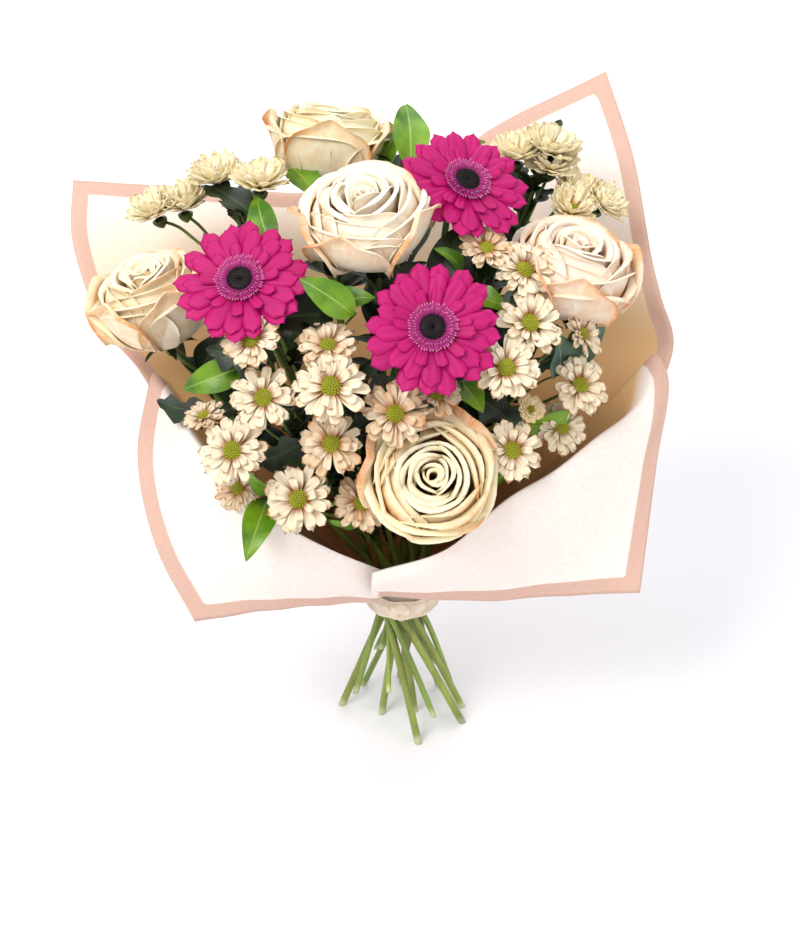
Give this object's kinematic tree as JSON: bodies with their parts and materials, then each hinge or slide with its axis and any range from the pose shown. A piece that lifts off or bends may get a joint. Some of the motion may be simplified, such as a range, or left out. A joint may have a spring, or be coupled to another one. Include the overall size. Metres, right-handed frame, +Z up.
{
  "type": "mixed flower bouquet in a paper wrap",
  "caption": "Hand-tied bouquet of roses, gerberas, spray chrysanthemums and leafy greens in a folded, bordered paper wrap, standing on its cut stems.",
  "frame": {"origin": "middle of the bounding box's foot, on the surface the cut stems stand on", "axes": "+Z up along the standing bouquet; -Y is the front that the open wrap and the faces of the flowers turn to; +X to the viewer's right"},
  "size_m": [0.4826, 0.3708, 0.506],
  "materials": {
    "wrap_paper": "matt cream wrapping paper with a peach border printed on its inner face",
    "ribbon": "soft gathered cream ribbon",
    "rose_petal": "cream petals with peach edges, soft sheen",
    "gerbera_ray": "deep magenta rays, velvety",
    "gerbera_eye": "near-black disc with a pink fringe",
    "chrysanthemum_ray": "cream rays with peach tips round a green-yellow disc",
    "stem": "fresh green stems, pale at the cut ends",
    "spray_green": "dark green lobed leaves and branching stems",
    "ruscus_leaf": "bright green leaves with a light gloss",
    "eucalyptus_leaf": "grey-green leaves with a waxy bloom"
  },
  "bodies": {
    "root": {"wrap_back": "wrap_paper", "wrap_left": "wrap_paper", "wrap_right": "wrap_paper", "ribbon": "ribbon", "rose_bloom_1": "rose_petal", "rose_bloom_2": "rose_petal", "rose_bloom_3": "rose_petal", "rose_bloom_4": "rose_petal", "rose_bloom_5": "rose_petal", "gerbera_rays_1": "gerbera_ray", "gerbera_eye_1": "gerbera_eye", "gerbera_rays_2": "gerbera_ray", "gerbera_eye_2": "gerbera_eye", "gerbera_rays_3": "gerbera_ray", "gerbera_eye_3": "gerbera_eye", "chrysanthemum_1_1": "chrysanthemum_ray", "chrysanthemum_1_2": "chrysanthemum_ray", "chrysanthemum_1_3": "chrysanthemum_ray", "chrysanthemum_1_4": "chrysanthemum_ray", "chrysanthemum_1_5": "chrysanthemum_ray", "chrysanthemum_2_1": "chrysanthemum_ray", "chrysanthemum_2_2": "chrysanthemum_ray", "chrysanthemum_2_3": "chrysanthemum_ray", "chrysanthemum_2_4": "chrysanthemum_ray", "chrysanthemum_3_1": "chrysanthemum_ray", "chrysanthemum_3_2": "chrysanthemum_ray", "chrysanthemum_3_3": "chrysanthemum_ray", "chrysanthemum_4_1": "chrysanthemum_ray", "chrysanthemum_4_2": "chrysanthemum_ray", "chrysanthemum_4_3": "chrysanthemum_ray", "chrysanthemum_4_4": "chrysanthemum_ray", "chrysanthemum_4_5": "chrysanthemum_ray", "chrysanthemum_4_6": "chrysanthemum_ray", "chrysanthemum_4_7": "chrysanthemum_ray", "chrysanthemum_4_8": "chrysanthemum_ray", "chrysanthemum_5_1": "chrysanthemum_ray", "chrysanthemum_5_4": "chrysanthemum_ray", "chrysanthemum_5_7": "chrysanthemum_ray", "chrysanthemum_6_1": "chrysanthemum_ray", "chrysanthemum_6_3": "chrysanthemum_ray", "rose_stem_1": "stem", "rose_stem_2": "stem", "rose_stem_3": "stem", "rose_stem_4": "stem", "rose_stem_5": "stem", "gerbera_stem_1": "stem", "gerbera_stem_2": "stem", "gerbera_stem_3": "stem", "spray_green_1": "spray_green", "spray_green_2": "spray_green", "spray_green_3": "spray_green", "spray_green_4": "spray_green", "spray_green_5": "spray_green", "spray_green_6": "spray_green", "ruscus_left": "ruscus_leaf", "ruscus_right": "ruscus_leaf", "ruscus_back": "ruscus_leaf", "eucalyptus_right": "eucalyptus_leaf"}
  },
  "joints": []
}
